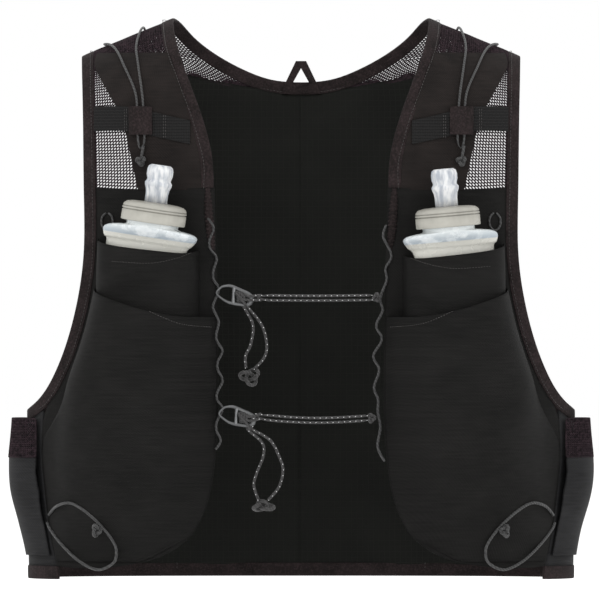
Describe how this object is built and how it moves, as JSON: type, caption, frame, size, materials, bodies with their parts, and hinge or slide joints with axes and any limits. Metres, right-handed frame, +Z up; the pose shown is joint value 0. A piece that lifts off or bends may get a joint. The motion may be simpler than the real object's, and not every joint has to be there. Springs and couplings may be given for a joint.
{
  "type": "running hydration vest",
  "caption": "Running hydration vest in dark stretch cloth, net and ripstop, as worn, with front flask and lower pockets, side pockets, corded chest fastening and soft flasks.",
  "frame": {"origin": "middle of the shoulder line, where the vest hangs on the shoulders", "axes": "+Z up, front towards -Y, +X to the right in the front view"},
  "size_m": [0.4542, 0.1983, 0.4405],
  "materials": {
    "ripstop": "fine dark ripstop",
    "stretch": "matt stretch weave",
    "side_stretch": "matt stretch weave, lighter",
    "net": "fine knitted net",
    "binding": "knitted binding tape",
    "webbing": "flat woven webbing",
    "cord": "braided elastic cord, mid grey",
    "dark_cord": "braided cord, charcoal with light flecks",
    "clip": "satin",
    "film": "clear soft film with a bluish cast",
    "cap": "moulded, satin",
    "silicone": "milky silicone"
  },
  "bodies": {
    "root": {"armhole_binding_L": "binding", "armhole_binding_R": "binding", "back_panel": "ripstop", "bite_valve_L": "silicone", "bite_valve_R": "silicone", "chest_clip_lower": "clip", "chest_clip_upper": "clip", "chest_cord_lower": "dark_cord", "chest_cord_upper": "dark_cord", "chest_tail_lower_a": "dark_cord", "chest_tail_lower_b": "dark_cord", "chest_tail_upper_a": "dark_cord", "chest_tail_upper_b": "dark_cord", "flask_body_L": "film", "flask_body_R": "film", "flask_cap_L": "cap", "flask_cap_R": "cap", "flask_pocket_L": "stretch", "flask_pocket_R": "stretch", "flask_tether_L": "cord", "flask_tether_R": "cord", "front_lace_L": "cord", "front_lace_R": "cord", "front_panel_L": "stretch", "front_panel_R": "stretch", "front_pocket_L": "stretch", "front_pocket_R": "stretch", "hanger_loop": "binding", "hem_binding": "binding", "keeper_L": "binding", "keeper_R": "binding", "lace_knot_lower": "dark_cord", "lace_knot_upper": "dark_cord", "neck_binding": "binding", "pole_knot_L": "cord", "pole_knot_R": "cord", "pole_loop_L": "cord", "pole_loop_R": "cord", "shoulder_cord_L": "cord", "shoulder_cord_R": "cord", "shoulder_knot_L": "cord", "shoulder_knot_R": "cord", "shoulder_mesh_L": "net", "shoulder_mesh_R": "net", "side_mesh_L": "net", "side_mesh_R": "net", "side_panel_L": "side_stretch", "side_panel_R": "side_stretch", "side_pocket_L": "side_stretch", "side_pocket_R": "side_stretch", "tail_knot_lower": "dark_cord", "tail_knot_upper": "dark_cord", "webbing_L": "webbing", "webbing_R": "webbing"}
  },
  "joints": []
}
